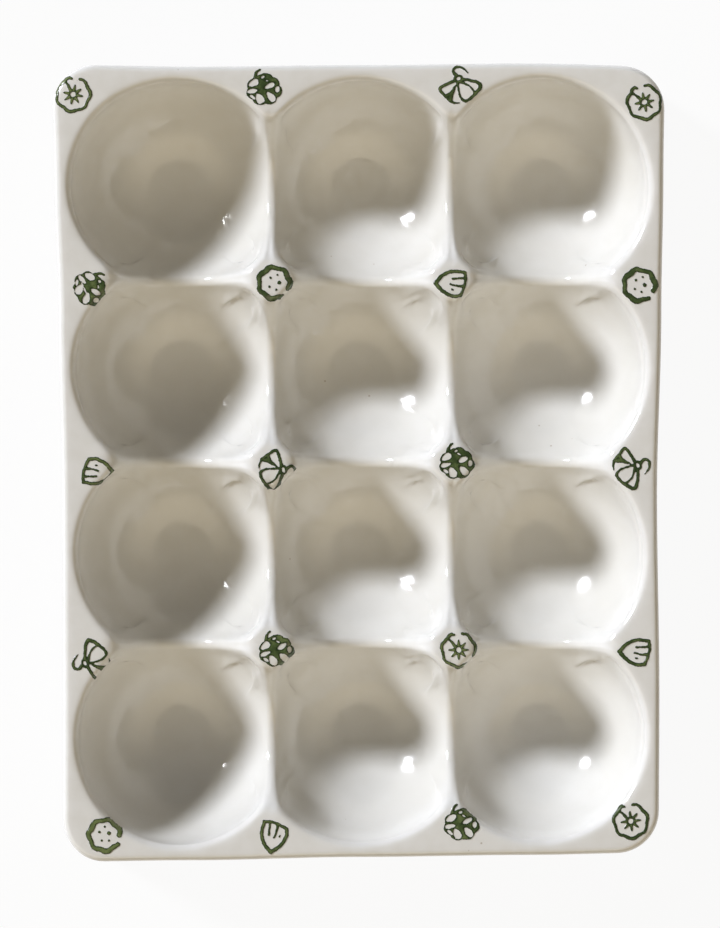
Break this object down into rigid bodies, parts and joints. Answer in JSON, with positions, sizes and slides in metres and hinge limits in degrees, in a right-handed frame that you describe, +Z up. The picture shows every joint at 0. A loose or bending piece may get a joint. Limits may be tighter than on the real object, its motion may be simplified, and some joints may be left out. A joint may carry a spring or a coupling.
{
  "type": "egg holder tray",
  "caption": "Rectangular glazed stoneware tray with a grid of round egg cups, low saddles between them and small stamped green motifs on its flat top.",
  "frame": {"origin": "centre of the foot rim's rectangle, on the surface that the tray stands on", "axes": "+X across the three columns of cups, +Y along the four rows, +Z up"},
  "size_m": [0.1856, 0.2416, 0.0422],
  "materials": {
    "white_glaze": "gloss",
    "green_glaze": "gloss"
  },
  "bodies": {
    "root": {"stamp_bud_slice_r2c3": "green_glaze", "stamp_bud_slice_r3c1": "green_glaze", "stamp_bud_slice_r4c4": "green_glaze", "stamp_bud_slice_r5c2": "green_glaze", "stamp_dotted_slice_r2c2": "green_glaze", "stamp_dotted_slice_r2c4": "green_glaze", "stamp_dotted_slice_r5c1": "green_glaze", "stamp_seed_fan_r1c3": "green_glaze", "stamp_seed_fan_r3c2": "green_glaze", "stamp_seed_fan_r3c4": "green_glaze", "stamp_seed_fan_r4c1": "green_glaze", "stamp_segment_slice_r1c2": "green_glaze", "stamp_segment_slice_r2c1": "green_glaze", "stamp_segment_slice_r3c3": "green_glaze", "stamp_segment_slice_r4c2": "green_glaze", "stamp_segment_slice_r5c3": "green_glaze", "stamp_star_slice_r1c1": "green_glaze", "stamp_star_slice_r1c4": "green_glaze", "stamp_star_slice_r4c3": "green_glaze", "stamp_star_slice_r5c4": "green_glaze", "tray_body": "white_glaze"}
  },
  "joints": []
}
